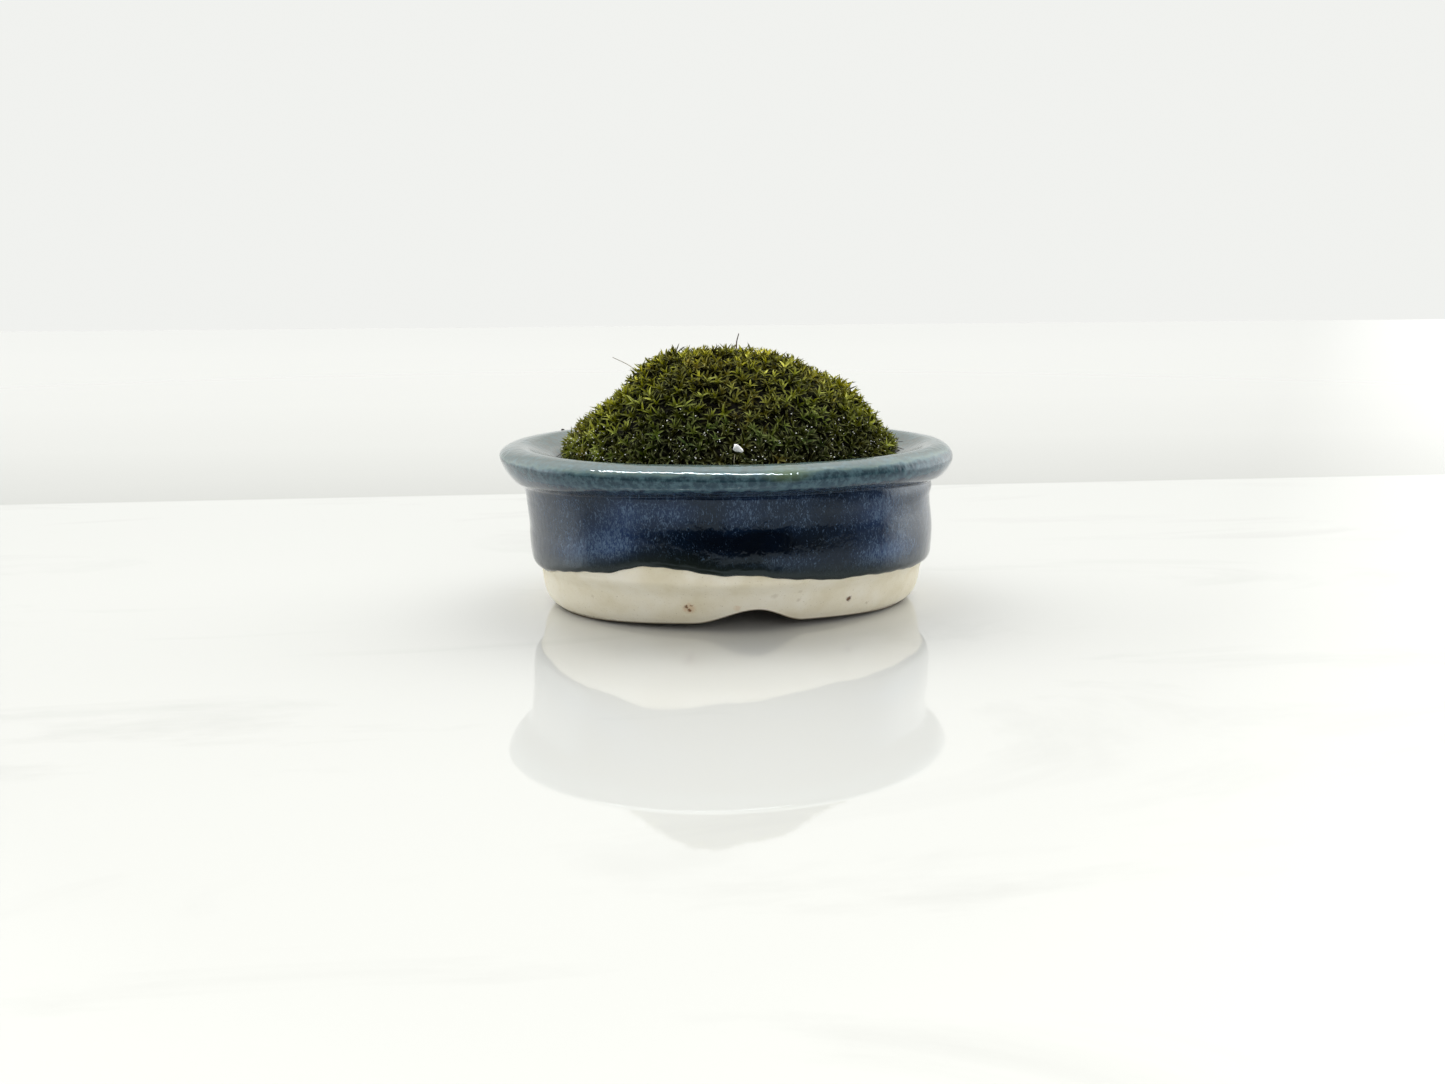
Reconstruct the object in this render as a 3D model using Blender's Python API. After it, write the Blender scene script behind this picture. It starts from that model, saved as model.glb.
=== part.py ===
"""A cushion of moss growing in a small oval bonsai pot of glazed stoneware.

Frame: metres, +Z up, X along the pot's length, the side with the lower glaze line facing -Y.
The origin is on the surface that the pot stands on, under its middle.
"""

import math

import bmesh
import bpy
from mathutils import Vector, noise

MM = 0.001
TOUCH_GAP = 0.3 * MM  # left between two pieces that touch
WELD_DISTANCE = 0.0001 * MM
SHARP_ANGLE = 40  # degrees, the least angle of an edge that shows as a crease

# The pot, measured over its lip
POT_LENGTH = 100.0 * MM
POT_WIDTH = 88.4 * MM
RIM_HEIGHT = 35.2 * MM
EGG = 0.048  # how much narrower the +X end is, and wider the -X end, as a share of the width
OVAL_STEPS = 72

# Heights of the pot's wall, and insets measured inwards from the outermost line of its lip
LIP_EDGE_HEIGHT = 32.5 * MM
NECK_HEIGHT = 27.3 * MM
NECK_INSET = 5.7 * MM
FOOT_TOP_HEIGHT = 9.2 * MM
FOOT_TOP_INSET = 8.3 * MM
FOOT_CURVE_HEIGHT = 6.3 * MM
FOOT_CURVE_INSET = 8.5 * MM
FOOT_BASE_INSET = 12.0 * MM
FOOT_RING_WIDTH = 3.6 * MM
MOUTH_INSET = 12.3 * MM
RECESS_HEIGHT = 5.2 * MM
FLOOR_THICKNESS = 4.3 * MM
FLOOR_TOP = RECESS_HEIGHT + FLOOR_THICKNESS
DISC_INSET = 20.0 * MM  # inside this inset the floor is one flat disc, above and below
LEAN = 0.134  # how much narrower the foot is at its base than at the wall, front to back only
LEAN_TOP = 11.0 * MM

# Cuts in the pot. Its base bows up along each long side, so it stands on its two ends.
DRAIN_RADIUS = 4.0 * MM
BOW_HEIGHT = 1.5 * MM
BOW_REACH = 34.0 * MM
NOTCH_CENTRE = 1.5 * MM
NOTCH_HEIGHT = 3.35 * MM
NOTCH_LEFT = 12.5 * MM
NOTCH_RIGHT = 10.3 * MM
UNDERCUT_STEPS = 34

# The soil
SOIL_TOP = 30.0 * MM

# The moss: a dome on an upright edge. Its surface is where the tips of the sprigs end.
MOSS_INSET = 12.1 * MM
MOSS_BASE = SOIL_TOP + TOUCH_GAP
MOSS_EDGE = 34.6 * MM
MOSS_RISE = 21.7 * MM
MOSS_FLATTEN = 2.94
MOSS_SLOPE = 1.2
MOSS_TUCK = 0.035  # how much of its radius the edge draws in at the soil
MOSS_EDGE_SHARE = 0.12  # share of the starting ball's radius, under its middle, that becomes the edge
TUFT_DEPTH = 0.9 * MM
TUFT_PITCH = 2.6 * MM
TUFT_FADE = 4.0 * MM  # the tufts grow to their full depth over this height above the soil
LUMP_DEPTH = 0.6 * MM
LUMP_PITCH = 13.0 * MM
LUMP_FADE = 0.3  # and the lumps and dents over this share of the dome's rise
LEFT_DENT = {"x": -25.2 * MM, "width": 4.9 * MM, "depth": 3.3 * MM}
RIGHT_DENT = {"x": 20.0 * MM, "width": 5.0 * MM, "depth": 1.7 * MM}

# The small things on the moss
GRAIN_PLACE = Vector((-1.8, -29.5, 37.1)) * MM
GRAIN_SIZE = Vector((2.5, 1.7, 1.9)) * MM
GRAIN_POCKET = 1.5  # how many times larger than the grain its hollow in the moss is
GRAIN_LUMP = 0.22
GRAIN_LUMP_SCALE = 3.1
SETA_RADIUS = 0.17 * MM
SETA_POCKET_RADIUS = 0.6 * MM
SETA_POCKET_REACH = 4.0 * MM
SETA_ROOT = 2.6 * MM
SETA_TAPER = 0.18  # share of the radius lost at each point of the route
SETA_TOP_ROUTE = [Vector(p) * MM for p in ((1.9, 3.0, 55.2), (2.0, 3.0, 56.8), (2.5, 3.0, 58.5))]
SETA_LEFT_ROUTE = [Vector(p) * MM for p in ((-19.0, 1.8, 49.9), (-22.0, 1.9, 52.0), (-25.3, 2.0, 53.6))]


def clear_scene():
    for thing in list(bpy.data.objects):
        bpy.data.objects.remove(thing, do_unlink=True)


def new_collection(name):
    collection = bpy.data.collections.new(name)
    bpy.context.scene.collection.children.link(collection)
    return collection


def finish(name, colour, roughness, coat=0.0):
    """A Principled material of one colour, given as linear red, green and blue."""
    material = bpy.data.materials.new(name)
    material.use_nodes = True
    shader = material.node_tree.nodes["Principled BSDF"]
    shader.inputs["Base Color"].default_value = (*colour, 1.0)
    shader.inputs["Roughness"].default_value = roughness
    shader.inputs["Coat Weight"].default_value = coat
    return material


def object_from(bm, name, collection, material=None):
    mesh = bpy.data.meshes.new(name)
    bm.to_mesh(mesh)
    bm.free()
    thing = bpy.data.objects.new(name, mesh)
    collection.objects.link(thing)
    if material:
        mesh.materials.append(material)
    return thing


def smooth(thing, degrees):
    thing.data.shade_smooth()
    thing.data.set_sharp_from_angle(angle=math.radians(degrees))


def lip_line():
    """Points of the egg-shaped oval of the lip's outermost line."""
    points = []
    for step in range(OVAL_STEPS):
        turn = 2 * math.pi * step / OVAL_STEPS
        x = POT_LENGTH / 2 * math.cos(turn)
        y = POT_WIDTH / 2 * math.sin(turn) * (1 - EGG * math.cos(turn))
        points.append(Vector((x, y)))
    return points


def curve_object(name, collection, points, cyclic, dimensions):
    curve = bpy.data.curves.new(name, "CURVE")
    curve.dimensions = dimensions
    spline = curve.splines.new("POLY")
    spline.points.add(len(points) - 1)
    for control, point in zip(spline.points, points):
        control.co = (*point, 0.0, 1.0) if len(point) == 2 else (*point, 1.0)
    spline.use_cyclic_u = cyclic
    thing = bpy.data.objects.new(name, curve)
    collection.objects.link(thing)
    return thing


def meshed(thing, collection, material=None):
    """Turns a curve object into a mesh object of the same name, its seams welded."""
    bpy.context.view_layer.update()
    graph = bpy.context.evaluated_depsgraph_get()
    bm = bmesh.new()
    bm.from_mesh(bpy.data.meshes.new_from_object(thing.evaluated_get(graph)))
    bmesh.ops.remove_doubles(bm, verts=bm.verts, dist=WELD_DISTANCE)
    name = thing.name
    place = thing.matrix_world.copy()
    bpy.data.objects.remove(thing, do_unlink=True)
    mesh_object = object_from(bm, name, collection, material)
    mesh_object.matrix_world = place
    return mesh_object


def swept_round_oval(name, collection, profile, material):
    """A profile of (inset, height) points carried round the oval, its two end loops closed with flat faces."""
    section = curve_object(name + "_section", collection, profile, False, "2D")
    path = curve_object(name, collection, lip_line(), True, "2D")
    path.data.bevel_mode = "OBJECT"
    path.data.bevel_object = section
    path.data.fill_mode = "NONE"
    thing = meshed(path, collection, material)
    bpy.data.objects.remove(section, do_unlink=True)
    bm = bmesh.new()
    bm.from_mesh(thing.data)
    open_edges = [edge for edge in bm.edges if edge.is_boundary]
    bmesh.ops.holes_fill(bm, edges=open_edges, sides=0)
    bmesh.ops.recalc_face_normals(bm, faces=bm.faces)
    for vertex in bm.verts:
        vertex.co.y *= 1 - LEAN * max(0.0, 1 - vertex.co.z / LEAN_TOP)
    bm.to_mesh(thing.data)
    bm.free()
    return thing


def cut(thing, cutter):
    modifier = thing.modifiers.new(cutter.name, "BOOLEAN")
    modifier.operation = "DIFFERENCE"
    modifier.solver = "EXACT"
    modifier.object = cutter
    cutter.hide_render = True
    cutter.display_type = "WIRE"


def pot_profile():
    """The wall's section: from the underside's disc out round the foot, wall and lip, and back inside."""
    foot_ring_end = FOOT_BASE_INSET + FOOT_RING_WIDTH
    underside = [
        (DISC_INSET, RECESS_HEIGHT),
        (foot_ring_end + 1.5 * MM, RECESS_HEIGHT),
        (foot_ring_end + 0.8 * MM, 1.2 * MM),
        (foot_ring_end, 0.0),
    ]
    foot = [
        (FOOT_BASE_INSET, 0.0),
        (FOOT_BASE_INSET - 1.0 * MM, 0.8 * MM),
        (FOOT_CURVE_INSET + 1.5 * MM, 0.3 * FOOT_CURVE_HEIGHT),
        (FOOT_CURVE_INSET + 0.5 * MM, 0.55 * FOOT_CURVE_HEIGHT),
        (FOOT_CURVE_INSET, FOOT_CURVE_HEIGHT),
        (FOOT_TOP_INSET, FOOT_TOP_HEIGHT),
    ]
    belly = [
        (FOOT_TOP_INSET - 0.8 * MM, FOOT_TOP_HEIGHT + 0.9 * MM),
        (NECK_INSET + 0.7 * MM, FOOT_TOP_HEIGHT + 2.4 * MM),
        (NECK_INSET + 0.1 * MM, FOOT_TOP_HEIGHT + 4.6 * MM),
        (NECK_INSET - 0.1 * MM, FOOT_TOP_HEIGHT + 8.0 * MM),
        (NECK_INSET, NECK_HEIGHT),
    ]
    lip = [
        (NECK_INSET - 0.5 * MM, NECK_HEIGHT + 1.3 * MM),
        (NECK_INSET - 1.5 * MM, NECK_HEIGHT + 2.1 * MM),
        (2.5 * MM, LIP_EDGE_HEIGHT - 3.0 * MM),
        (1.0 * MM, LIP_EDGE_HEIGHT - 2.1 * MM),
        (0.25 * MM, LIP_EDGE_HEIGHT - 1.1 * MM),
        (0.0, LIP_EDGE_HEIGHT),
        (0.4 * MM, LIP_EDGE_HEIGHT + 1.0 * MM),
        (1.3 * MM, RIM_HEIGHT - 0.8 * MM),
        (2.7 * MM, RIM_HEIGHT - 0.2 * MM),
        (4.3 * MM, RIM_HEIGHT),
    ]
    dish = [
        (5.8 * MM, RIM_HEIGHT - 0.3 * MM),
        (7.5 * MM, RIM_HEIGHT - 1.1 * MM),
        (9.6 * MM, RIM_HEIGHT - 2.1 * MM),
        (11.3 * MM, RIM_HEIGHT - 2.9 * MM),
        (MOUTH_INSET - 0.3 * MM, RIM_HEIGHT - 3.8 * MM),
        (MOUTH_INSET, RIM_HEIGHT - 5.2 * MM),
    ]
    inside = [
        (MOUTH_INSET, FLOOR_TOP + 4.0 * MM),
        (MOUTH_INSET + 1.0 * MM, FLOOR_TOP + 1.5 * MM),
        (MOUTH_INSET + 3.5 * MM, FLOOR_TOP),
        (DISC_INSET, FLOOR_TOP),
    ]
    return underside + foot + belly + lip + dish + inside


def undercut_height(x):
    """How far the foot's lower edge is off the surface: the bow of the base, and in it the notch, a soft bell."""
    bow = BOW_HEIGHT * (1 - (x / BOW_REACH) ** 2)
    from_notch = x - NOTCH_CENTRE
    reach = NOTCH_LEFT if from_notch < 0 else NOTCH_RIGHT
    bell = 0.5 + 0.5 * math.cos(math.pi * min(1.0, abs(from_notch) / reach))
    return bow + NOTCH_HEIGHT * bell


def undercut_cutter(collection):
    """A bar along Y that takes the bow and the notches out of the foot, front and back."""
    below = -1.0 * MM
    outline = [(-BOW_REACH, below)]
    for step in range(UNDERCUT_STEPS + 1):
        x = BOW_REACH * (2 * step / UNDERCUT_STEPS - 1)
        outline.append((x, undercut_height(x)))
    outline.append((BOW_REACH, below))
    bar = curve_object("undercut_cutter", collection, outline, True, "2D")
    bar.data.fill_mode = "BOTH"
    bar.data.extrude = POT_WIDTH
    bar.rotation_euler.x = math.pi / 2
    return meshed(bar, collection)


def drain_cutter(collection):
    bm = bmesh.new()
    bmesh.ops.create_cone(
        bm,
        cap_ends=True,
        segments=28,
        radius1=DRAIN_RADIUS,
        radius2=DRAIN_RADIUS,
        depth=3 * FLOOR_TOP,
    )
    return object_from(bm, "drain_cutter", collection)


def make_pot(parts, cutters):
    """The fired clay pot, glazed down to the foot."""
    glaze = finish("navy_glaze", (0.018, 0.045, 0.13), 0.12, 1.0)
    bare_clay = finish("unglazed_clay", (0.68, 0.60, 0.45), 0.75)
    pot = swept_round_oval("pot", parts, pot_profile(), glaze)
    pot.data.materials.append(bare_clay)
    for face in pot.data.polygons:
        at_foot = face.center.z < FOOT_TOP_HEIGHT
        outside = abs(face.normal.z) > 0.5 or face.normal.dot(Vector((*face.center.xy, 0.0))) > 0
        face.material_index = 1 if at_foot and (outside or face.center.z < RECESS_HEIGHT + MM) else 0
    smooth(pot, SHARP_ANGLE)
    cut(pot, undercut_cutter(cutters))
    cut(pot, drain_cutter(cutters))
    return pot


def make_soil(parts):
    """The potting mix, which fills the pot to just under its mouth."""
    wall = MOUTH_INSET + TOUCH_GAP
    profile = [
        (DISC_INSET, FLOOR_TOP + TOUCH_GAP),
        (wall + 3.5 * MM, FLOOR_TOP + TOUCH_GAP),
        (wall + 1.1 * MM, FLOOR_TOP + 1.9 * MM),
        (wall, FLOOR_TOP + 4.2 * MM),
        (wall, SOIL_TOP - 0.8 * MM),
        (wall + 0.8 * MM, SOIL_TOP),
        (DISC_INSET, SOIL_TOP),
    ]
    soil = swept_round_oval("soil", parts, profile, finish("damp_soil", (0.035, 0.022, 0.014), 0.95))
    smooth(soil, SHARP_ANGLE)
    return soil


def moss_height(x, y, out):
    """Height of the tips, where out is 0 at the middle of the cushion and 1 at its edge."""
    dome = MOSS_RISE * (1 - out**MOSS_FLATTEN) ** MOSS_SLOPE
    lumps = LUMP_DEPTH * noise.noise(Vector((x, y, 0.0)) / LUMP_PITCH)
    dents = 0.0
    for dent in (LEFT_DENT, RIGHT_DENT):
        dents += dent["depth"] * math.exp(-(((x - dent["x"]) / dent["width"]) ** 2) / 2)
    return MOSS_EDGE + dome + (lumps - dents) * min(1.0, dome / (LUMP_FADE * MOSS_RISE))


def shape_moss(bm):
    """Moves the points of a unit ball, cut flat just under its middle, onto the cushion."""
    half_length = POT_LENGTH / 2 - MOSS_INSET
    half_width = POT_WIDTH / 2 - MOSS_INSET
    for vertex in bm.verts:
        direction = vertex.co.copy()
        flat = Vector((direction.x, direction.y))
        down = 0.0
        if direction.z < 0:
            down = min(1.0, -direction.z / MOSS_EDGE_SHARE)
            flat = flat.normalized() * (1 - MOSS_TUCK * down**2)
        x = half_length * flat.x
        y = half_width * flat.y * (1 - EGG * flat.x)
        height = MOSS_EDGE + (MOSS_BASE - MOSS_EDGE) * down
        if down == 0.0:
            height = moss_height(x, y, min(1.0, flat.length))
        vertex.co = (x, y, height)


def raise_tufts(bm):
    """Sinks the points of the free surface by unequal amounts, so that what stays up reads as tufts."""
    bm.normal_update()
    normals = [(vertex, vertex.normal.copy()) for vertex in bm.verts]
    for vertex, normal in normals:
        above_soil = max(0.0, vertex.co.z - MOSS_BASE)
        depth = abs(noise.cell(vertex.co / TUFT_PITCH + Vector((0.5, 0.5, 0.5))))
        vertex.co -= normal * TUFT_DEPTH * depth * min(1.0, above_soil / TUFT_FADE)


def pocket_for_stalk(name, route, cutters):
    """A blind hole along the stalk's own root."""
    axis = (route[1] - route[0]).normalized()
    bottom = route[0] - axis * (SETA_ROOT + 2 * TOUCH_GAP)
    top = route[0] + axis * SETA_POCKET_REACH
    bm = bmesh.new()
    bmesh.ops.create_cone(
        bm,
        cap_ends=True,
        segments=8,
        radius1=SETA_POCKET_RADIUS,
        radius2=SETA_POCKET_RADIUS,
        depth=(top - bottom).length,
    )
    pocket = object_from(bm, name + "_pocket", cutters)
    pocket.rotation_euler = axis.to_track_quat("Z", "Y").to_euler()
    pocket.location = (top + bottom) / 2
    return pocket


def grain_shape(bm, swell):
    """A worn, lumpy grain, round its own middle."""
    bmesh.ops.create_icosphere(bm, subdivisions=2, radius=0.5)
    for vertex in bm.verts:
        lump = 1 + GRAIN_LUMP * noise.noise(vertex.co * GRAIN_LUMP_SCALE + Vector((4.0, 1.0, 2.0)))
        vertex.co = Vector(c * s for c, s in zip(vertex.co * lump * swell, GRAIN_SIZE))


def make_moss(parts, cutters):
    """The moss, grown as one cushion."""
    bm = bmesh.new()
    bmesh.ops.create_icosphere(bm, subdivisions=5, radius=1.0)
    everything = bm.verts[:] + bm.edges[:] + bm.faces[:]
    bmesh.ops.bisect_plane(
        bm,
        geom=everything,
        plane_co=(0, 0, -MOSS_EDGE_SHARE),
        plane_no=(0, 0, -1),
        clear_outer=True,
    )
    bmesh.ops.holes_fill(bm, edges=[edge for edge in bm.edges if edge.is_boundary], sides=0)
    shape_moss(bm)
    raise_tufts(bm)
    moss = object_from(bm, "moss_cushion", parts, finish("moss", (0.10, 0.16, 0.02), 0.8))
    for name, route in (("seta_top", SETA_TOP_ROUTE), ("seta_left", SETA_LEFT_ROUTE)):
        cut(moss, pocket_for_stalk(name, route, cutters))
    pocket = bmesh.new()
    grain_shape(pocket, GRAIN_POCKET)
    grain_pocket = object_from(pocket, "grain_pocket", cutters)
    grain_pocket.location = GRAIN_PLACE
    cut(moss, grain_pocket)
    return moss


def make_grain(parts):
    """A grain of pumice that lies in the face of the moss."""
    bm = bmesh.new()
    grain_shape(bm, 1.0)
    grain = object_from(bm, "pumice_grain", parts, finish("pumice", (0.80, 0.80, 0.76), 0.9))
    grain.location = GRAIN_PLACE
    return grain


def make_stalk(name, route, colour, parts):
    """A dry stalk, thinner to its tip, rooted in the moss."""
    axis = (route[1] - route[0]).normalized()
    points = [route[0] - axis * SETA_ROOT, *route]
    stalk = curve_object(name, parts, points, False, "3D")
    stalk.data.bevel_depth = SETA_RADIUS
    stalk.data.bevel_resolution = 1
    stalk.data.use_fill_caps = True
    for step, control in enumerate(stalk.data.splines[0].points):
        control.radius = 1.0 - SETA_TAPER * step
    return meshed(stalk, parts, finish(name + "_skin", colour, 0.6))


def main():
    clear_scene()
    parts = new_collection("moss_clump")
    cutters = new_collection("cutters")
    make_pot(parts, cutters)
    make_soil(parts)
    make_moss(parts, cutters)
    make_grain(parts)
    make_stalk("seta_top", SETA_TOP_ROUTE, (0.05, 0.018, 0.012), parts)
    make_stalk("seta_left", SETA_LEFT_ROUTE, (0.35, 0.32, 0.26), parts)


main()
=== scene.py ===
"""A cushion of moss in a small oval bonsai pot of glazed stoneware, dressed around its solids."""

import math

import bpy
import numpy as np
from mathutils import Matrix


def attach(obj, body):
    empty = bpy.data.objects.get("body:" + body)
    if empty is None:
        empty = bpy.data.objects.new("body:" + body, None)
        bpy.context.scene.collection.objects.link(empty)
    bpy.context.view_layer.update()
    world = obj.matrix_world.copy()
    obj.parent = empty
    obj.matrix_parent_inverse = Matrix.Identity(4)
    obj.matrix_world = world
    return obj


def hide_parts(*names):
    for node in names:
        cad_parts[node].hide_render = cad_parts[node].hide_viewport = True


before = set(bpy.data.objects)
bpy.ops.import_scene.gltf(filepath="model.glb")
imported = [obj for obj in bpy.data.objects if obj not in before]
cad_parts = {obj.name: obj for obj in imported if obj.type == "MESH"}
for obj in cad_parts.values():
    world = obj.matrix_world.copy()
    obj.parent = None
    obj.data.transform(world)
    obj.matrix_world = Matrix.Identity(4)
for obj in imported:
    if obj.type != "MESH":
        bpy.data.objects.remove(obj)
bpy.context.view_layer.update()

scene = bpy.context.scene
MM = 0.001

# ----------
# The camera. It stands a hand's breadth above the table and a little to the left of the pot's
# front. Its place was solved from the outlines of the lip, the foot and their reflection.

AIM_ACROSS, AIM_HEIGHT, DISTANCE = -1.63, 12.58, 322.7  # in millimetres
FOCAL_LENGTH, PHOTO_WIDTH = 1450, 1445  # in the photo's pixels
azimuth, elevation, roll = (math.radians(angle) for angle in (-6.4, 10.64, -0.25))
to_camera = np.array([
    math.sin(azimuth) * math.cos(elevation),
    -math.cos(azimuth) * math.cos(elevation),
    math.sin(elevation),
])
level_right = np.array([math.cos(azimuth), math.sin(azimuth), 0.0])
level_up = np.cross(to_camera, level_right)
right = math.cos(roll) * level_right + math.sin(roll) * level_up
up = -math.sin(roll) * level_right + math.cos(roll) * level_up
aimed_at = level_right * AIM_ACROSS * MM + np.array([0.0, 0.0, AIM_HEIGHT * MM])
seen_from = aimed_at + to_camera * DISTANCE * MM

camera_data = bpy.data.cameras.new("camera")
camera_data.lens = camera_data.sensor_width * FOCAL_LENGTH / PHOTO_WIDTH
camera_data.clip_start = 0.01
camera = bpy.data.objects.new("camera", camera_data)
scene.collection.objects.link(camera)
turned = np.eye(4)
turned[:3] = np.stack([right, up, to_camera, seen_from], 1)
camera.matrix_world = Matrix(turned.tolist())
scene.camera = camera
scene.view_settings.view_transform = "Standard"
scene.view_settings.look = "None"

# ----------
# The table top: a plain pale slab of polished stone. It mirrors the pot faintly, as polished
# stone does at a low angle. Past its far edge the same plane has the tone of the wall behind.


def linear(code):
    """An sRGB colour written as six hex digits, as linear red, green, blue and an alpha of one."""
    parts = [int(code[place:place + 2], 16) / 255 for place in (0, 2, 4)]
    return [p / 12.92 if p <= 0.04045 else ((p + 0.055) / 1.055) ** 2.4 for p in parts] + [1.0]


def feed(node, values):
    """Gives a node's sockets their values, by name or in the sockets' order. A colour is six hex
    digits. Another node feeds the socket from its first output, and an output feeds it itself."""
    for name, value in values.items() if isinstance(values, dict) else enumerate(values):
        if isinstance(value, bpy.types.Node):
            value = value.outputs[0]
        if isinstance(value, bpy.types.NodeSocket):
            node.id_data.links.new(value, node.inputs[name])
        else:
            node.inputs[name].default_value = linear(value) if isinstance(value, str) else value


def add(tree, kind, inputs=(), stops=None, **settings):
    """Adds a shader node, whose sockets are fed the inputs. In order, a MixRGB's are its share and
    two colours, and a MapRange's its value, the range it comes from and the one it goes to. stops
    are a ramp's pairs of a place and a colour or grey; the settings are the node's own."""
    node = tree.nodes.new("ShaderNode" + kind)
    for name, value in settings.items():
        setattr(node, name, value)
    feed(node, inputs)
    if stops:
        ramp = node.color_ramp.elements
        while len(ramp) < len(stops):
            ramp.new(0.5)
        for element, (place, colour) in zip(ramp, stops):
            element.position = place
            element.color = linear(colour) if isinstance(colour, str) else (colour,) * 3 + (1.0,)
    return node


def principled(name, **values):
    """A new material, its tree, its Principled shader, whose sockets take the values given, and
    the place in the object's own coordinates."""
    material = bpy.data.materials.new(name)
    material.use_nodes = True
    tree = material.node_tree
    shader = tree.nodes["Principled BSDF"]
    feed(shader, {socket.replace("_", " "): value for socket, value in values.items()})
    return material, tree, shader, add(tree, "TexCoord").outputs["Object"]


def mesh_piece(name, points, faces, materials, smooth=True, slots=None, **attributes):
    """A mesh object from arrays: points (..., 3) in millimetres, and faces (..., 3) or (..., 4)
    of their indices. slots is each face's material; an attribute is one number for each point."""
    mesh = bpy.data.meshes.new(name)
    points = (np.reshape(points, (-1, 3)) * MM).astype(np.float32)
    faces = np.reshape(faces, (-1, np.shape(faces)[-1])).astype(np.int32)
    mesh.vertices.add(len(points))
    mesh.vertices.foreach_set("co", points.ravel())
    mesh.loops.add(faces.size)
    mesh.loops.foreach_set("vertex_index", faces.ravel())
    mesh.polygons.add(len(faces))
    mesh.polygons.foreach_set("loop_start", np.arange(len(faces)) * faces.shape[1])
    mesh.polygons.foreach_set("use_smooth", np.full(len(faces), smooth))
    for material in materials:
        mesh.materials.append(material)
    if slots is not None:
        mesh.polygons.foreach_set("material_index", np.asarray(slots, np.int32))
    mesh.update(calc_edges=True)
    for key, values in attributes.items():
        attribute = mesh.attributes.new(key, "FLOAT", "POINT")
        attribute.data.foreach_set("value", np.asarray(values, np.float32).ravel())
    piece = bpy.data.objects.new(name, mesh)
    scene.collection.objects.link(piece)
    return piece


# Polished stone: near white, with faint veins a hand long, and glossy enough to show a mirrored
# pot. Here as in every noise below, Scale is one over the size of the pattern in metres.
WALL_FROM = 0.16
stone, tree, shader, place = principled("polished_pale_stone", Roughness=0.015)
across = add(tree, "SeparateXYZ", {"Vector": place}).outputs["Y"]
drawn = add(tree, "Mapping", {"Vector": place, "Rotation": (0, 0, 0.5), "Scale": (6.0, 15.0, 1.0)})
veins = add(tree, "TexNoise", {
    "Vector": drawn, "Scale": 1, "Detail": 6, "Roughness": 0.6, "Distortion": 1.5,
})
tone = add(tree, "ValToRGB", (veins,), [(0.30, "c8c8c5"), (0.45, "d1d1ce")])
far = add(tree, "MapRange", (across, WALL_FROM, 1.0))
wall_tone = add(tree, "ValToRGB", (far,), [
    (0.0, "b5b5b1"), (0.17, "cacac6"), (0.4, "d6d6d2"), (1.0, "e2e2de"),
])
past_edge = add(tree, "MapRange", (across, WALL_FROM - 0.001, WALL_FROM + 0.002))
stone_tone = add(tree, "MixRGB", (past_edge, tone, wall_tone))
feed(shader, {"Base Color": stone_tone})
FRONT_EDGE, FAR = -215, 1600
slab = mesh_piece("table_top", [
    (-FAR, FRONT_EDGE, 0), (FAR, FRONT_EDGE, 0), (FAR, FAR, 0), (-FAR, FAR, 0),
], [(0, 1, 2, 3)], [stone])

# ----------
# The light: a pale room, bright at both sides and behind the pot and dark in front, where it
# stands open. A soft light hangs overhead, a long strip draws the line of light on the lip, and a
# dim one in front fills the shade without being mirrored.

world = bpy.data.worlds.new("pale_room")
scene.world = world
world.use_nodes = True
tree = world.node_tree
tree.nodes.clear()
looking = add(tree, "TexCoord").outputs["Generated"]
forward = add(tree, "SeparateXYZ", {"Vector": looking})
facing = add(tree, "MapRange", (forward.outputs["Y"], -1.0, 1.0))
# How bright the walls are, from the front (0) round to behind the pot (1), higher up and low down
high_up = add(tree, "ValToRGB", (facing,), [
    (0.05, 0.02), (0.07, 0.12), (0.40, 0.25), (0.55, 1.5), (0.66, 2.9), (0.72, 2.6), (0.85, 2.0),
    (0.94, 0.9),
])
low_down = add(tree, "ValToRGB", (facing,), [
    (0.05, 0.02), (0.07, 0.12), (0.43, 0.24), (0.50, 2.2), (0.60, 3.4), (0.70, 2.8), (0.85, 2.0),
    (0.94, 0.9),
])
rising = add(tree, "MapRange", (forward.outputs["Z"], 0.25, 0.55))
walls = add(tree, "MixRGB", (rising, low_down, high_up))
ceiling = add(tree, "ValToRGB", (forward.outputs["Z"],), [
    (0.0, 0.02), (0.14, 0.02), (0.34, 0.45), (0.9, 0.7),
])
room_level = add(tree, "Math", (walls, ceiling), operation="MAXIMUM")
# Looked at itself, the room is one plain pale wall
seen = add(tree, "LightPath").outputs["Is Camera Ray"]
level = add(tree, "Mix", {"Factor": seen, "A": room_level, "B": 0.885})
room = add(tree, "Background", {"Color": "fefffc", "Strength": level})
add(tree, "OutputWorld", {"Surface": room})


def soft_light(name, size, where, watts, aim=(0.0, 0.0, 0.0)):
    """A rectangular light of that size in metres, at where and turned to aim."""
    data = bpy.data.lights.new(name, "AREA")
    data.shape = "RECTANGLE"
    data.size, data.size_y = size
    data.energy = watts
    lamp = bpy.data.objects.new(name, data)
    scene.collection.objects.link(lamp)
    lamp.location = where
    way = lamp.location - type(lamp.location)(aim)
    lamp.rotation_euler = way.to_track_quat("Z", "Y").to_euler()
    return lamp


soft_light("overhead", (0.7, 0.5), (0.0, 0.12, 0.75), 1.0)
strip = soft_light("lip_line", (0.74, 0.03), (-0.055, -0.09, 0.62), 7.4, (0.0, 0.0, 0.03))
strip.data.color = (1.0, 0.94, 0.87)
strip.visible_diffuse = False
fill = soft_light("front_fill", (1.0, 0.4), (0.2, -0.78, 0.25), 2.0)
fill.visible_glossy = False

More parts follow.
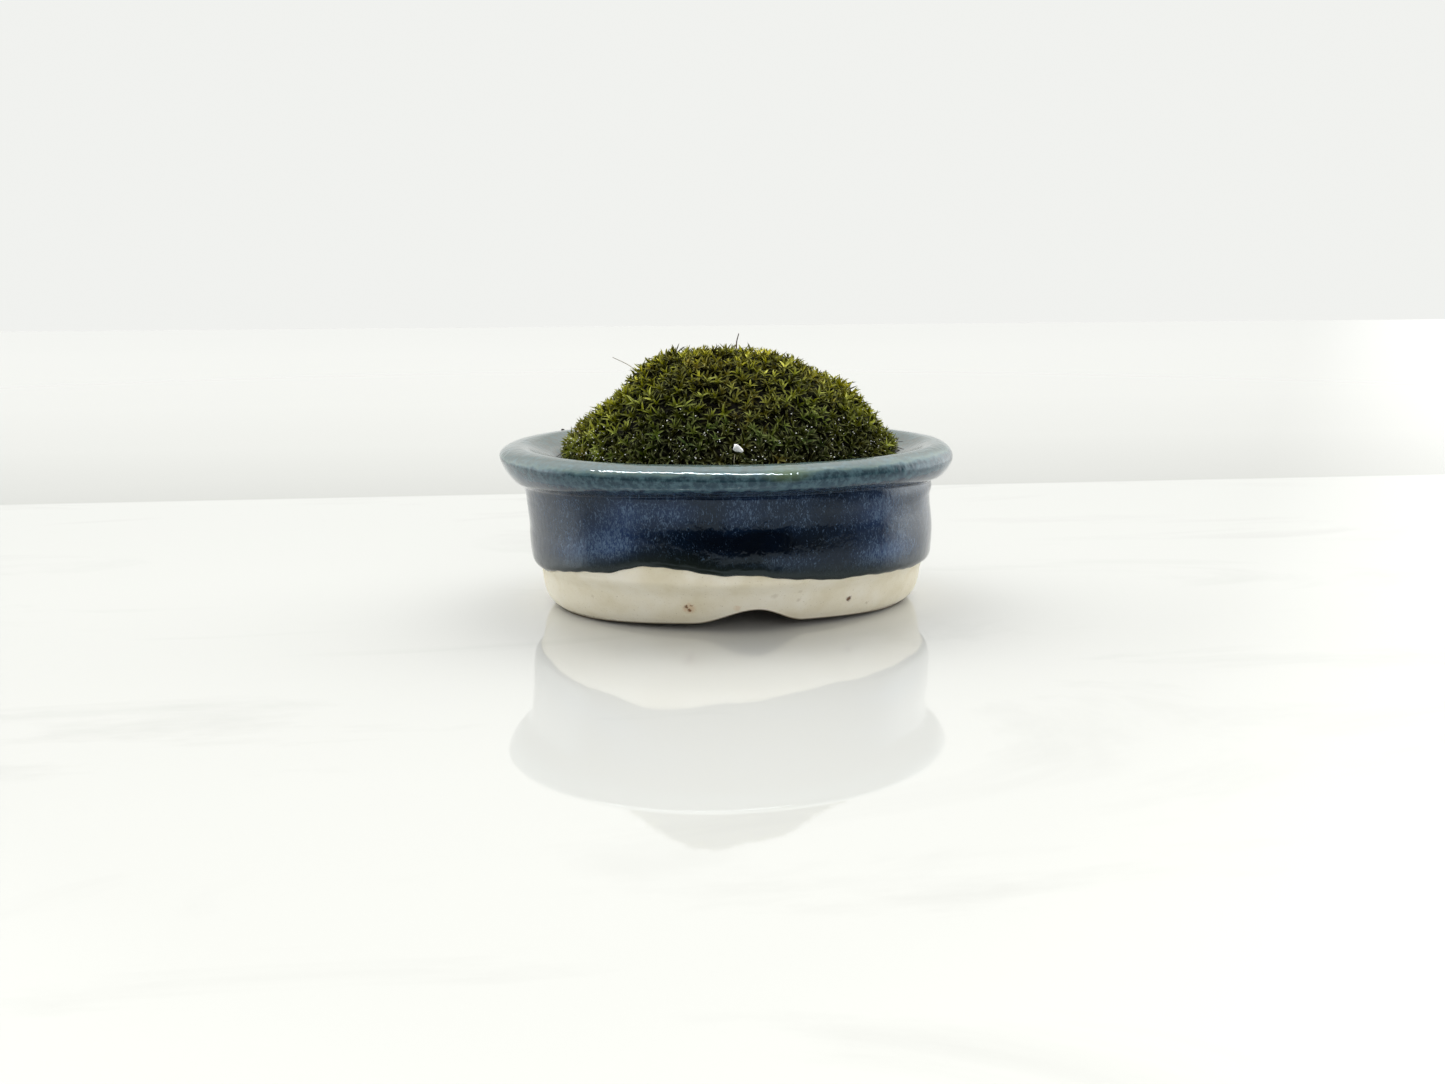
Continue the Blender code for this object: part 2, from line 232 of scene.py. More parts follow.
# ----------
# The pot: thrown and pressed stoneware on an egg-shaped oval. It is one closed skin, a section of
# inset and height carried round the oval. The glaze is 0.35 mm thick and stops in a rolled edge.

COLUMNS = 512
turn = np.linspace(0.0, 2 * np.pi, COLUMNS, endpoint=False)
LENGTH, WIDTH, EGG = 100.0, 88.4, 0.048  # the lip's oval, and how far its right end is narrower
LEAN, LEAN_TOP = 0.134, 11.0  # how far the foot leans in at the front and back, and from where
RECESS, FLOOR, DRAIN = 5.2, 9.5, 4.0  # heights under and in the pot, and the hole's radius
FOOT_SLIDE, WALL_TOP = 0.6, 24.0
GLAZE, PROUD = 0.35, 0.25  # how thick the glaze is, and how far its rolled edge stands out

lip_x = LENGTH / 2 * np.cos(turn)
lip_y = WIDTH / 2 * np.sin(turn) * (1 - EGG * np.cos(turn))
along_x = -LENGTH / 2 * np.sin(turn)
along_y = WIDTH / 2 * (np.cos(turn) - EGG * np.cos(2 * turn))
speed = np.hypot(along_x, along_y)
inward_x, inward_y = -along_y / speed, along_x / speed


def steps(low, high, count):
    """count numbers from low up to high, which is left out, one to a row. Either end may be an
    array with a number for each column."""
    return low + (high - low) * (np.arange(count) / count)[:, None] + 0 * turn


def eased(low, high, value):
    """0 below low and 1 above high, with a smooth S between."""
    share = np.clip((value - low) / (high - low), 0, 1)
    return share * share * (3 - 2 * share)


def spline(points, spans):
    """A smooth line through points (k, ..., 2): on each span it is the cubic whose slope at a
    point is half the step from the point before it to the one after. Each span gives rows."""
    ends = np.concatenate([2 * points[:1] - points[1:2], points, 2 * points[-1:] - points[-2:-1]])
    share = (np.arange(spans) / spans).reshape(1, -1, *[1] * (points.ndim - 1))
    a, b, c, d = (ends[shift:len(ends) - 3 + shift, None] for shift in range(4))
    rows = b + 0.5 * share * (c - a + share * (2 * a - 5 * b + 4 * c - d
                                               + share * (3 * (b - c) + d - a)))
    return np.concatenate([rows.reshape(-1, *points.shape[1:]), points[-1:]])


def around(inset, height, slide):
    """Points of the pot in millimetres: the lip's line moved inwards by inset, slid along X, and
    drawn together front to back below the wall, where the foot leans in."""
    x = lip_x + inward_x * inset + slide
    lean = 1 - LEAN * np.clip(1 - height / LEAN_TOP, 0, None)
    return np.stack([x, (lip_y + inward_y * inset) * lean, height + 0 * x], -1)


# How far a place belongs to the left end and to the right end, and the lip's slide along X
left_end = np.clip(-np.cos(turn), 0, 1) ** 2.5
right_end = np.clip(np.cos(turn), 0, 1) ** 2.5
lip_slide = -0.5 * (1 + np.cos(turn))

# The foot's lower edge bows up along each side and has a soft bell of a notch in its middle,
# which reaches a little further to the left than to the right
BOW_RISE, BOW_REACH = 1.5, 34.0
NOTCH_RISE, NOTCH_MIDDLE, NOTCH_LEFT, NOTCH_RIGHT = 3.1, 1.5, 12.5, 10.3
ring_x = lip_x + inward_x * 10.5 + FOOT_SLIDE
from_notch = ring_x - NOTCH_MIDDLE
notch_share = np.clip(from_notch / np.where(from_notch < 0, NOTCH_LEFT, NOTCH_RIGHT), -1, 1)
bell = 0.5 + 0.5 * np.cos(np.pi * notch_share)
edge_height = np.clip(BOW_RISE * (1 - (ring_x / BOW_REACH) ** 2), 0, None) + NOTCH_RISE * bell

# The glaze's lower edge ran unevenly: each run is its place round the pot, its width and its rise
RUNS = ((-140, 16, 2.2), (-116, 14, 4.4), (-92, 17, 2.9), (-60, 20, 1.0), (38, 20, 1.4),
        (84, 14, 3.4), (118, 17, 1.5), (150, 12, 2.2))
degrees = np.degrees(turn + np.pi) % 360 - 180
glaze_edge = 9.7 - 0.3 * left_end + 0.12 * np.sin(23 * turn) + 0.07 * np.sin(57 * turn + 1.0)
for centre, width, rise in RUNS:
    glaze_edge = glaze_edge + rise * np.exp(-(((degrees - centre + 180) % 360 - 180) / width) ** 2)

# Section of foot and wall as (inset, height), the same all round
WALL = np.array([
    (12.0, 0.0), (10.6, 0.8), (9.5, 1.9), (8.75, 3.4), (8.35, 5.0), (8.15, 6.4), (8.0, 7.6),
    (7.7, 8.6), (7.1, 9.5), (6.4, 10.4), (5.95, 11.6), (5.7, 13.4), (5.6, 15.4), (5.6, 17.0),
    (5.78, 19.7), (5.98, 22.0), (6.0, 24.0),
])
fine_wall = spline(WALL, 12)


def wall_inset(height):
    """The inset of foot and wall at a height, read off their section."""
    return np.interp(height, fine_wall[:, 1], fine_wall[:, 0])


def wall_slide(height):
    """How far foot and wall sit to the right of the lip: up to 0.6 mm, more at the foot."""
    return np.interp(height, (0, 10, WALL_TOP), (FOOT_SLIDE, 0.5, 0.4))


# Section of the lip, from the wall round its underside and edge to its crest
LIP = {
    "sides": ((6.0, 24.0), (5.85, 26.6), (5.75, 28.2), (5.82, 28.8), (4.6, 29.25), (2.8, 29.65),
              (1.3, 30.3), (0.35, 31.3), (0.0, 32.4), (0.35, 33.5), (1.3, 34.4), (2.7, 35.0),
              (4.3, 35.2)),
    "left": ((5.1, 24.0), (4.85, 25.4), (4.6, 26.3), (4.1, 27.0), (3.3, 27.5), (2.6, 28.1),
             (1.35, 29.9), (0.5, 31.6), (0.0, 33.0), (0.3, 33.9), (1.2, 34.6), (2.6, 35.05),
             (4.3, 35.2)),
    "right": ((6.15, 24.0), (5.75, 25.4), (5.6, 26.5), (5.3, 27.2), (3.9, 27.75), (2.4, 28.4),
              (1.15, 29.6), (0.35, 30.8), (0.0, 32.0), (0.3, 33.2), (1.2, 34.3), (2.6, 35.0),
              (4.3, 35.2)),
}
at_sides, at_left, at_right = (np.array(line)[:, None, :] for line in LIP.values())
lip_points = (at_sides + left_end[:, None] * (at_left - at_sides)
              + right_end[:, None] * (at_right - at_sides))
uneven = 0.10 * np.sin(3 * turn + 0.4) + 0.07 * np.sin(7 * turn + 2.0) + 0.04 * np.sin(16 * turn)
lip_points[1:-1, :, 1] += 0.6 * uneven
lip_rows = spline(lip_points, 4)

# The dish inside the crest, and the inside of the pot down to its floor
DISH = ((4.3, 35.2), (5.8, 34.9), (7.4, 34.15), (9.2, 33.2), (10.8, 32.5), (11.9, 31.6),
        (12.3, 30.2))
dish_rows = spline(np.array(DISH), 4)[1:]
INSIDE = ((12.3, 30.2), (12.3, 24.0), (12.3, 18.0), (12.3, 13.5), (12.9, 11.2), (14.4, 9.8),
          (16.0, FLOOR))
inside_rows = spline(np.array(INSIDE), 2)[1:]

# The skin's rows, and three marks for each point: whether it is clay, its height over the glaze's
# edge, and how far it is outwards and down from where the glaze breaks on the lip
sections = []
marks = []
FAR_BELOW = -20.0
UNDERNEATH = (1.0, FAR_BELOW, -9.0)
circle = np.stack([DRAIN * np.cos(turn), DRAIN * np.sin(turn), 0 * turn], -1)


def section(inset, height, slide, clay, over_edge=FAR_BELOW, past_break=20.0):
    """Adds rows of points of the pot to the skin, with their marks."""
    points = around(inset, height, slide)
    sections.append(points)
    flat = 0 * points[..., 0]
    marks.append(np.stack([clay + flat, over_edge + flat, past_break + flat], -1))


def disc(height, inset, shares):
    """Adds rows of a flat ring, at shares of the way from the drain hole to the oval's inset."""
    rim = around(np.array([[inset]]), np.array([[height]]), 0.0)[0]
    hole = circle + np.array([0, 0, height])
    rows = hole + (rim - hole) * np.asarray(shares)[:, None, None]
    sections.append(rows)
    marks.append(np.tile(UNDERNEATH, (len(rows), COLUMNS, 1)))


# Down through the drain hole and out over the recess under the floor
hole_heights = np.array([FLOOR - 0.3, FLOOR - 1.5, 7.4, RECESS + 1.2, RECESS + 0.3])
sections.append(circle + hole_heights[:, None, None] * np.array([0, 0, 1.0]))
marks.append(np.tile(UNDERNEATH, (len(hole_heights), COLUMNS, 1)))
RECESS_INSET = 18.6
disc(RECESS, RECESS_INSET, (0.02, 0.15, 0.3, 0.45, 0.6, 0.75, 0.88))
section(np.array([RECESS_INSET, 17.9, 17.4, 17.1])[:, None],
        RECESS - np.array([0.0, 0.03, 0.12, 0.4])[:, None], 0.3, 1)
# Down the foot ring's inside, which widens, and across its lower edge
RING_INSIDE = ((0.0, 1.2, RECESS), (15.6, 16.4, 17.0))
down = steps(RECESS - 0.5, edge_height + 0.25, 5)
section(np.interp(down, *RING_INSIDE), down, 0.5, 1)
outer_edge = wall_inset(edge_height + 0.45)
inner_edge = np.interp(edge_height, *RING_INSIDE)
ring_shares = np.array([0.0, 0.03, 0.12, 0.35, 0.6, 0.82])[:, None]
ring_lift = np.array([0.12, 0.04, 0.0, 0.0, 0.0, 0.0])[:, None]
section(inner_edge + (outer_edge + 0.55 - inner_edge) * ring_shares, edge_height + ring_lift,
        FOOT_SLIDE, 1)
section(outer_edge + np.array([0.5, 0.2, 0.05])[:, None],
        edge_height + np.array([0.01, 0.09, 0.24])[:, None], FOOT_SLIDE, 1)
# Up the bare clay, which lies under the glaze's face where the glaze begins
SINKS = (8.6, 11.0)
clay_heights = steps(edge_height + 0.45, glaze_edge, 26)
section(wall_inset(clay_heights) + GLAZE * eased(*SINKS, clay_heights), clay_heights,
        wall_slide(clay_heights), 1, clay_heights - glaze_edge)
break_height = 33.9 - 0.7 * left_end + 0.15 * np.sin(2 * turn + 2.3)
# The rolled edge is a quarter round that stands 0.25 mm proud, and sinks back over 2 mm
ROLL_RISE = 0.5
quarter = (np.arange(7) / 7 * np.pi / 2)[:, None]
step_in = GLAZE * eased(*SINKS, glaze_edge)
rolled = glaze_edge + ROLL_RISE * (1 - np.cos(quarter)) - 0.10 * np.sin(2 * quarter)
section(wall_inset(rolled) + step_in - (step_in + PROUD) * np.sin(quarter), rolled,
        wall_slide(rolled), 0, rolled - glaze_edge, break_height - rolled)
# Up the glazed wall, round the lip, down the dish and the inside, and across the floor
heights = steps(glaze_edge + ROLL_RISE, WALL_TOP, 34)
proud = PROUD * np.exp(-((heights - glaze_edge - ROLL_RISE) / 1.6) ** 2)
end_flare = (lip_points[0, :, 0] - WALL[-1, 0]) * eased(17.0, WALL_TOP, heights)
section(wall_inset(heights) - proud + end_flare + 0.7 * uneven * eased(9, 15, heights), heights,
        wall_slide(heights), 0, heights - glaze_edge, break_height - heights)
lip_height = lip_rows[..., 1]
is_lip = eased(25.0, 30.5, lip_height)
section(lip_rows[..., 0] + 0.7 * uneven, lip_height,
        wall_slide(lip_height) * (1 - is_lip) + lip_slide * is_lip, 0,
        lip_height - glaze_edge, break_height - lip_height)
section(dish_rows[:, :1], dish_rows[:, 1:] + 0.5 * uneven, lip_slide, 0,
        30.0, -1.6 - 0.45 * (dish_rows[:, :1] - 4.3))
# The lip's last 18 rows and the dish, on which crumbs lie
dish_skin = np.concatenate([sections[-2][-18:], sections[-1]]).reshape(-1, 3)
section(inside_rows[:, :1], inside_rows[:, 1:], 0.0, 1)
disc(FLOOR, 16.0, (0.85, 0.65, 0.45, 0.25, 0.1, 0.02))

skin = np.concatenate(sections)
marks = np.concatenate(marks)


def grid_faces(rows, columns, close_rows=True):
    """Squares between neighbours of a grid of points numbered row by row. The last column is
    joined to the first, and so is the last row where close_rows is set."""
    low = np.arange(rows if close_rows else rows - 1)[:, None]
    side = np.arange(columns)[None, :]
    up_row, next_column = (low + 1) % rows, (side + 1) % columns
    return np.stack([
        low * columns + side, low * columns + next_column,
        up_row * columns + next_column, up_row * columns + side,
    ], -1).reshape(-1, 4)


# Where the pale crystals crowd in the wall's glaze: the side, front (-1) or back (1), the place
# across, the height, how far it spreads both ways, and how thick the crowd is. Below zero, on the
# front's middle, it is no crowd: the glaze there is painted near black, a painted reflection of a
# dark thing in front of the pot
BLOOMS_AND_PAINTED_REFLECTION = (
    (-1, -27.3, 17.4, 4.5, 3.0, 0.8), (-1, -34.3, 14.5, 4.0, 3.0, 0.7),
    (-1, -24.5, 25.0, 3.5, 3.0, 0.8), (-1, -16, 25.5, 5.0, 2.5, 0.6),
    (-1, 26.7, 23.5, 5.5, 3.5, 0.7), (-1, 30, 14.7, 5.5, 3.2, 1.2),
    (-1, 5.6, 14.6, 8.0, 2.0, 0.4), (-1, -3.8, 23.5, 2.0, 3.5, 0.3),
    (-1, -4.5, 19.6, 9.0, 2.5, -1.0), (-1, 4.2, 19.0, 6.0, 2.9, -1.3),
    (-1, -30, 21.0, 5.0, 4.0, 0.25), (-1, -25.5, 20.6, 4.5, 3.2, 0.5),
    (1, -22, 20, 9.0, 5.0, 0.7), (1, 8, 15, 10.0, 4.0, 0.8), (1, 28, 23, 7.0, 4.0, 0.7),
)
bloom = 0
for facing_side, across, high, spread, tall, amount in BLOOMS_AND_PAINTED_REFLECTION:
    bloom = bloom + amount * eased(-8.0, 8.0, skin[..., 1] * facing_side) * np.exp(
        -((skin[..., 0] - across) / spread) ** 2 - ((skin[..., 2] - high) / tall) ** 2)

pot_faces = grid_faces(len(skin), COLUMNS)
is_clay = (marks[..., 0].ravel() > 0.5)[pot_faces].any(axis=1)

# Glaze over stoneware: a navy glaze under a celadon one that was dipped over the lip. It fired
# glossy. It breaks to a pale line where it is thin on the lip's edge, and pools dark below it.
glaze, tree, shader, place = principled(
    "navy_and_celadon_glaze", Roughness=0.08, Specular_Tint="d4e6f8",
)
over_edge, past_break, bloom_mark = (
    add(tree, "Attribute", attribute_name=name).outputs["Fac"]
    for name in ("over_edge", "past_break", "bloom")
)
# Pale crystals, 0.4 mm wide and 1 mm tall, lie in clouds 12 mm across and where the blooms are.
# The real ones are as fine as hairs, and are drawn coarser so that they show.
tall = add(tree, "Mapping", {"Vector": place, "Scale": (1.0, 1.0, 0.45)})
crystals = add(tree, "TexNoise", {
    "Vector": tall, "Scale": 2300, "Detail": 3, "Roughness": 0.65, "Distortion": 1.4,
})
clouds = add(tree, "TexNoise", {"Vector": place, "Scale": 85, "Detail": 3})
navy = add(tree, "ValToRGB", (clouds,), [
    (0.34, "050b13"), (0.52, "081526"), (0.68, "0b1d36"),
])
crowded = add(tree, "MapRange", (clouds, 0.36, 0.66, -0.06, 0.04))
bloomed = add(tree, "Math", (bloom_mark, 0.12, crowded), operation="MULTIPLY_ADD")
grown = add(tree, "Math", (crystals, bloomed))
bluer = add(tree, "MapRange", (bloom_mark, -0.1, 1.1, 0.0, 0.8))
# Where the mark is below zero, the glaze is painted near black: a painted reflection
darker = add(tree, "MapRange", (bloom_mark, -0.9, -0.1, 0.85, 0.0))
with_painted_reflection = add(tree, "MixRGB", (darker, navy, "03060c"))
blued = add(tree, "MixRGB", (bluer, with_painted_reflection, "122e5a"))
crystal_share = add(tree, "MapRange", (grown, 0.53, 0.72, 0.0, 0.8))
wall_colour = add(tree, "MixRGB", (crystal_share, blued, "5a7089"))
# Thick, olive and near black in the roll at its lower edge
roll_share = add(tree, "MapRange", (over_edge, 0.8, 4.5, 1.0, 0.0))
body_colour = add(tree, "MixRGB", (roll_share, wall_colour, "1a201b"))
# The break on the lip wanders by a millimetre, as the glaze ran
wavy = add(tree, "TexNoise", {"Vector": place, "Scale": 260, "Detail": 4, "Roughness": 0.6})
ragged = add(tree, "Math", (wavy, 1.8, -0.9), operation="MULTIPLY_ADD")
ragged_break = add(tree, "Math", (past_break, ragged))
lip_share = add(tree, "MapRange", (ragged_break, -8.0, 8.0))
lip_colour = add(tree, "ValToRGB", (lip_share,), [
    (0.0, "606157"), (0.3, "5e625b"), (0.46, "54625e"), (0.494, "687a73"), (0.512, "485e61"),
    (0.54, "21353d"), (0.62, "223844"), (0.685, "344c5a"), (0.72, "14233a"),
])
# Mottled where the two glazes ran together, and olive in one place right of the middle
specked = add(tree, "TexNoise", {"Vector": place, "Scale": 700, "Detail": 4, "Roughness": 0.7})
mottle = add(tree, "MapRange", (specked, 0.44, 0.64, 0.0, 0.5))
mottled = add(tree, "MixRGB", (mottle, lip_colour, "5a7880"))
OLIVE_SPOT = (0.0062, -0.0436, 0.0338)
apart = add(tree, "VectorMath", (place, OLIVE_SPOT), operation="SUBTRACT")
flattened = add(tree, "VectorMath", (apart, (1.0, 1.0, 3.0)), operation="MULTIPLY")
from_olive = add(tree, "VectorMath", (flattened,), operation="LENGTH").outputs["Value"]
olive_share = add(tree, "MapRange", (from_olive, 0.001, 0.006, 0.5, 0.0))
olive = add(tree, "MixRGB", (olive_share, mottled, "6d7f4c"))
on_lip = add(tree, "MapRange", (ragged_break, 3.2, 5.5, 1.0, 0.0))
glaze_colour = add(tree, "MixRGB", (on_lip, body_colour, olive))
# All of it has a faint orange peel
orange_peel = add(tree, "TexNoise", {"Vector": place, "Scale": 560})
relief = add(tree, "Bump", {"Height": orange_peel, "Strength": 0.35, "Distance": 0.2 * MM})
# The break on the lip is rippled, which cuts its highlight into glints
upright = add(tree, "Mapping", {"Vector": place, "Scale": (1.0, 1.0, 0.6)})
ripples = add(tree, "TexNoise", {"Vector": upright, "Scale": 900, "Detail": 1})
from_break = add(tree, "Math", (past_break,), operation="ABSOLUTE")
rippled = add(tree, "MapRange", (from_break, 1.0, 2.5, 0.7, 0.0))
glinting = add(tree, "Bump", {
    "Height": ripples, "Strength": rippled, "Distance": 0.1 * MM, "Normal": relief,
})
feed(shader, {"Base Color": glaze_colour, "Normal": glinting})

# Bare stoneware, where the foot was wiped clean of glaze: cream, matt and a little gritty
clay, tree, shader, place = principled("bare_cream_stoneware", Roughness=0.72, IOR=1.45)
grit = add(tree, "TexNoise", {"Vector": place, "Scale": 2600, "Detail": 3, "Roughness": 0.6})
wiped = add(tree, "TexNoise", {"Vector": place, "Scale": 110, "Detail": 4, "Roughness": 0.55})
cream = add(tree, "ValToRGB", (wiped,), [
    (0.32, "e3dac0"), (0.5, "eee7d3"), (0.68, "f4efe0"),
])
dust = add(tree, "ValToRGB", (grit,), [(0.27, "b3a88f"), (0.37, "ffffff")])
gritty = add(tree, "MixRGB", (0.5, cream, dust), blend_type="MULTIPLY")

# Iron in the clay burnt out in a few specks: the place across, the height, the radius, the colour
# and how strong. Each lies on the foot's front.
SPECKS = (
    (-12.2, 5.3, 1.5, "c9a071", 0.45), (-12.8, 5.7, 0.5, "6b4426", 0.9),
    (-12.2, 4.9, 0.45, "7a4a26", 0.9), (-11.4, 6.0, 0.4, "8a5a34", 0.7),
    (-2.2, 5.3, 0.9, "cf9d63", 0.25), (21.5, 5.4, 0.75, "5b3218", 0.95),
    (5.0, 7.8, 0.8, "a8987a", 0.25), (10.0, 8.5, 0.6, "a8987a", 0.25),
    (10.3, 6.5, 0.5, "a8987a", 0.3), (26.0, 3.6, 0.45, "b0a080", 0.4),
    (-31.0, 6.4, 0.5, "b0a080", 0.3),
)
# The place, shaken by up to 0.6 mm, gives the specks and the painted contact shade ragged edges
SHAKE = 1.2 * MM
shaken = add(tree, "TexNoise", {"Vector": place, "Scale": 1500}).outputs["Color"]
shaken = add(tree, "VectorMath", (shaken, (0.5,) * 3), operation="SUBTRACT")
ragged_place = add(tree, "VectorMath", (shaken, (SHAKE,) * 3, place), operation="MULTIPLY_ADD")
# The clay is painted brown along the foot's lower edge, in its lowest 1.3 mm: painted shade where
# the foot meets the table
height = add(tree, "SeparateXYZ", {"Vector": ragged_place}).outputs["Z"]
painted_contact_shade = add(tree, "MapRange", (height, 0.2 * MM, 1.3 * MM, 0.75, 0.0))
clay_colour = add(tree, "MixRGB", (painted_contact_shade, gritty, "4d3d27"))
# Under the pot and inside it, where over_edge is marked far below, the whole clay is a darker brown
over_edge = add(tree, "Attribute", attribute_name="over_edge").outputs["Fac"]
darker_underneath = add(tree, "MapRange", (over_edge, FAR_BELOW, -12.0, 0.85, 0.0))
clay_colour = add(tree, "MixRGB", (darker_underneath, clay_colour, "5e4c33"))
for across, high, radius, colour, strong in SPECKS:
    level_line = around(wall_inset(high), np.float64(high), wall_slide(high))
    front_line = level_line[level_line[:, 1] < 0]
    speck = front_line[np.abs(front_line[:, 0] - across).argmin()] * MM
    away = add(tree, "VectorMath", (ragged_place, speck), operation="DISTANCE").outputs["Value"]
    burnt = add(tree, "MapRange", (away, 0.5 * radius * MM, 1.1 * radius * MM, strong, 0.0))
    clay_colour = add(tree, "MixRGB", (burnt, clay_colour, colour))
grain = add(tree, "Bump", {"Height": grit, "Strength": 0.3, "Distance": 0.1 * MM})
feed(shader, {"Base Color": clay_colour, "Normal": grain})

pot = mesh_piece(
    "stoneware_pot", skin, pot_faces, [glaze, clay], slots=is_clay,
    over_edge=marks[..., 1], past_break=marks[..., 2], bloom=bloom,
)
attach(pot, "root")
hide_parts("pot")

# ----------
# The potting mix: crumbly bark and loam that fills the pot up to the moss. It keeps its own solid,
# because only a dark band of it shows along the rim.


def grainy(name, kind, pattern, stops, strength, depth, **values):
    """A material of one pattern, which gives colour through a ramp of those stops, and relief of
    that strength and depth in metres. kind is the pattern's node."""
    material, tree, shader, place = principled(name, **values)
    grains = add(tree, kind, {"Vector": place, **pattern})
    colour = add(tree, "ValToRGB", (grains,), stops)
    relief = add(tree, "Bump", {"Height": grains, "Strength": strength, "Distance": depth})
    feed(shader, {"Base Color": colour, "Normal": relief})
    return material


# Damp potting mix: crumbs 1.4 mm across, brown in their middles and painted nearly black between
# them as painted shade, and without gloss
mix = grainy("damp_potting_mix", "TexVoronoi", {"Scale": 700},
             [(0.0, "5c4832"), (0.3, "34281c"), (0.6, "0e0a07")], 0.8, 0.5 * MM, Roughness=0.9)
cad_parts["soil"].data.materials.clear()
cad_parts["soil"].data.materials.append(mix)

# ----------
# The heart of the cushion: old brown stems packed tight, 2.5 mm under the tips of the sprigs. It
# is a closed dome on an upright edge, painted near black, and shows only as painted shade in the
# dark between the sprigs.

MOSS_LENGTH, MOSS_WIDTH = 37.9, 32.1  # from the middle of the cushion to its edge
MOSS_EDGE, MOSS_RISE, MOSS_BASE = 34.6, 21.7, 30.35  # the dome's edge, its rise and the underside
# Hollows across the dome, and swellings below zero: the place across, the spread and the depth
HOLLOWS = ((-25.2, 4.9, 2.4), (20.0, 5.0, 1.7), (5.0, 5.0, 0.6), (-15.0, 8.0, -0.6),
           (27.0, 3.2, -1.1))
random = np.random.default_rng(7)


def on_cushion(reach, angle):
    """The place across and in depth at that angle and share of the way out to the egg-shaped
    edge."""
    x = MOSS_LENGTH * reach * np.cos(angle)
    return x, MOSS_WIDTH * reach * np.sin(angle) * (1 - EGG * reach * np.cos(angle))


def way_out(x, y):
    """How far out a place is: 0 in the middle of the cushion and 1 on its edge."""
    return np.hypot(x / MOSS_LENGTH, y / (MOSS_WIDTH * (1 - EGG * x / MOSS_LENGTH)))


def dome(out):
    """Height over the dome's edge: the rise, times one less a power of the way out, which makes
    the top flat, all to a power that rounds its shoulder."""
    return MOSS_RISE * np.clip(1 - out ** 2.94, 0, None) ** 1.2


def cushion_height(x, y):
    """Height of the sprigs' tips: the dome with low lumps, less its hollows, which fade out with
    the dome towards the edge."""
    rise = dome(way_out(x, y))
    hollows = sum(deep * np.exp(-((x - middle) / spread) ** 2 / 2)
                  for middle, spread, deep in HOLLOWS)
    lumps = (0.35 * np.sin(x / 3.1 + 0.6) * np.sin(y / 3.7 + 1.1)
             + 0.25 * np.sin(x / 1.7 + y / 2.3) + 0.3 * np.sin(x / 6.0 - y / 5.0))
    return MOSS_EDGE + rise + (lumps - hollows - 0.2) * np.clip(rise / (0.3 * MOSS_RISE), 0, 1)


def unit(ways):
    """Directions cut to a length of one."""
    return ways / np.linalg.norm(ways, axis=-1, keepdims=True)


def cushion_normal(x, y):
    """Outward direction of the dome, from the slope of its height over 0.2 mm each way."""
    slope_x = (cushion_height(x + 0.1, y) - cushion_height(x - 0.1, y)) / 0.2
    slope_y = (cushion_height(x, y + 0.1) - cushion_height(x, y - 0.1)) / 0.2
    return unit(np.stack([-slope_x, -slope_y, 1 + 0 * slope_x], -1))


def closed_skin(rings, first, last, down=True):
    """Points and triangles of a closed skin: rings (n, k, 3) joined one to the next, and a fan
    from each end's own point to its ring. down says that the rings run down and not up, which
    turns the faces over."""
    count, sides = rings.shape[:2]
    points = np.concatenate([rings.reshape(-1, 3), [first], [last]])
    this, following = np.arange(sides), np.roll(np.arange(sides), -1)
    squares = grid_faces(count, sides, close_rows=False)
    final = (count - 1) * sides
    fans = np.concatenate([
        np.stack([following, this, 0 * this + count * sides], -1),
        np.stack([final + this, final + following, 0 * this + count * sides + 1], -1),
    ])
    if down:
        squares, fans = squares[:, ::-1], fans[:, ::-1]
    return points, np.concatenate([squares[:, [0, 1, 2]], squares[:, [0, 2, 3]], fans])


HEART_DEPTH, HEART_REACH = 2.5, 0.94
ring = np.linspace(0, 2 * np.pi, 180, endpoint=False)
out = np.linspace(0.0, HEART_REACH, 46)[1:, None]
heart_x, heart_y = on_cushion(out, ring)
ripples = 0.35 * np.sin(heart_x * 2.3 + np.sin(heart_y * 1.9)) * np.sin(heart_y * 2.1 + 0.7)
heart = np.stack([heart_x, heart_y, cushion_height(heart_x, heart_y) + ripples], -1)
heart -= HEART_DEPTH * cushion_normal(heart_x, heart_y)
heart[..., 2] = np.maximum(heart[..., 2], MOSS_BASE + 0.4)
side_rows = np.repeat(heart[-1:], 3, axis=0)
side_rows[..., 2] = np.array([MOSS_BASE + 0.3, MOSS_BASE + 0.1, MOSS_BASE])[:, None]
points, faces = closed_skin(
    np.concatenate([heart, side_rows]),
    (0.0, 0.0, cushion_height(0.0, 0.0) - HEART_DEPTH),
    (0.0, 0.0, MOSS_BASE),
)

# Packed old stems: fibres a millimetre thick and matt, painted near black as the shade in the gaps
# so that they look deep
stems_and_painted_shade = grainy("old_stems_and_painted_shade", "TexNoise", {"Scale": 900, "Detail": 4},
                   [(0.35, "040402"), (0.55, "0d0c06"), (0.75, "1d180c")], 0.9, 0.6 * MM,
                   Roughness=0.95, IOR=1.2)
heart_piece = mesh_piece("moss_heart", points, faces, [stems_and_painted_shade])
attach(heart_piece, "root")
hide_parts("moss_cushion")

# ----------
# The sprigs: star-shaped shoot tips, grown a little over 2 mm apart all over the cushion. Each is
# a spiral of keeled, pointed leaves 1.5 to 3 mm long, that stand up at its tip and spread further
# down. Those on top are painted yellow-green as painted light, and some have dried brown.

SPRIGS = 1500
LEAVES = 12
GOLDEN_ANGLE = math.pi * (3 - math.sqrt(5))
index = np.arange(SPRIGS)

